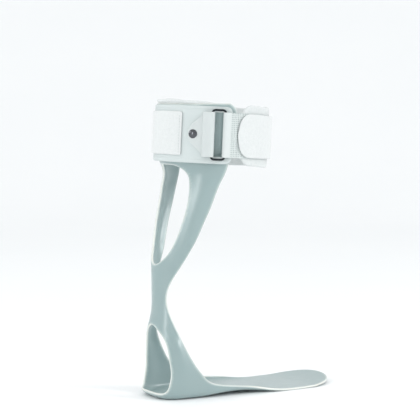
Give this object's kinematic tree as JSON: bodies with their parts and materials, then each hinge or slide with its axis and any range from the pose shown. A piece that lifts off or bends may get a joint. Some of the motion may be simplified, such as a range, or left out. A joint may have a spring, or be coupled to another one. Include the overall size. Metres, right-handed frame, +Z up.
{
  "type": "ankle foot orthosis",
  "caption": "Posterior leaf spring ankle foot orthosis for the right foot: moulded shell with sole plate, heel wings, forked calf band, padding and a ring-and-strap closure.",
  "frame": {"origin": "on the floor under the middle of the heel, on the flat of the sole plate", "axes": "+X towards the toes, +Y towards the inner side of the leg, +Z up the calf"},
  "size_m": [0.2336, 0.1341, 0.3305],
  "materials": {
    "shell": "translucent pale blue-grey polypropylene, satin",
    "pad": "white brushed loop fabric over foam",
    "cover": "white smooth coated fabric",
    "strap": "white brushed loop strap",
    "webbing": "white coated webbing",
    "mesh": "white perforated mesh strap",
    "hook": "white nylon hook tape",
    "rivet": "bright chrome",
    "ring": "black nickel wire"
  },
  "bodies": {
    "foot": {"shell_foot_section": "shell"},
    "calf": {"shell_strut_flexure": "shell", "shell_calf_section": "shell", "calf_pad": "pad", "band_cover": "cover", "back_strap": "strap", "ring_tab": "webbing", "outer_rivet_cap": "rivet", "outer_rivet_shank": "rivet", "outer_rivet_washer": "rivet", "inner_rivet_cap": "rivet", "inner_rivet_shank": "rivet", "inner_rivet_washer": "rivet"},
    "ring": {"strap_ring": "ring"},
    "tongue": {"mesh_strap": "mesh", "shin_pad": "pad"},
    "closure": {"closure_strap": "strap", "closure_hook_patch": "hook"}
  },
  "joints": [
    {"name": "ankle_flex", "type": "hinge", "parent": "foot", "child": "calf", "pos_m": [-0.021, 0, 0.12], "axis": [0, 1, 0], "range_deg": [-5, 12], "stiffness_Nm_per_rad": 35, "deforming": ["shell_strut_flexure"]},
    {"name": "closure_strap_open", "type": "hinge", "parent": "calf", "child": "closure", "pos_m": [0.05893, 0.06466, 0.28958], "axis": [0.0523, 0, 0.9986], "range_deg": [0, 110]},
    {"name": "ring_swing", "type": "hinge", "parent": "calf", "child": "ring", "pos_m": [0.01746, -0.05868, 0.29176], "axis": [0.0523, 0, 0.9986], "range_deg": [-22, 0]},
    {"name": "tongue_swing", "type": "hinge", "parent": "ring", "child": "tongue", "pos_m": [0.03102, -0.06458, 0.29105], "axis": [0.0523, 0, 0.9986], "range_deg": [-40, 0]}
  ],
  "couplings": [
    {"joint": "ring_swing", "follows": "closure_strap_open", "ratio": -0.2},
    {"joint": "tongue_swing", "follows": "closure_strap_open", "ratio": -0.35}
  ]
}
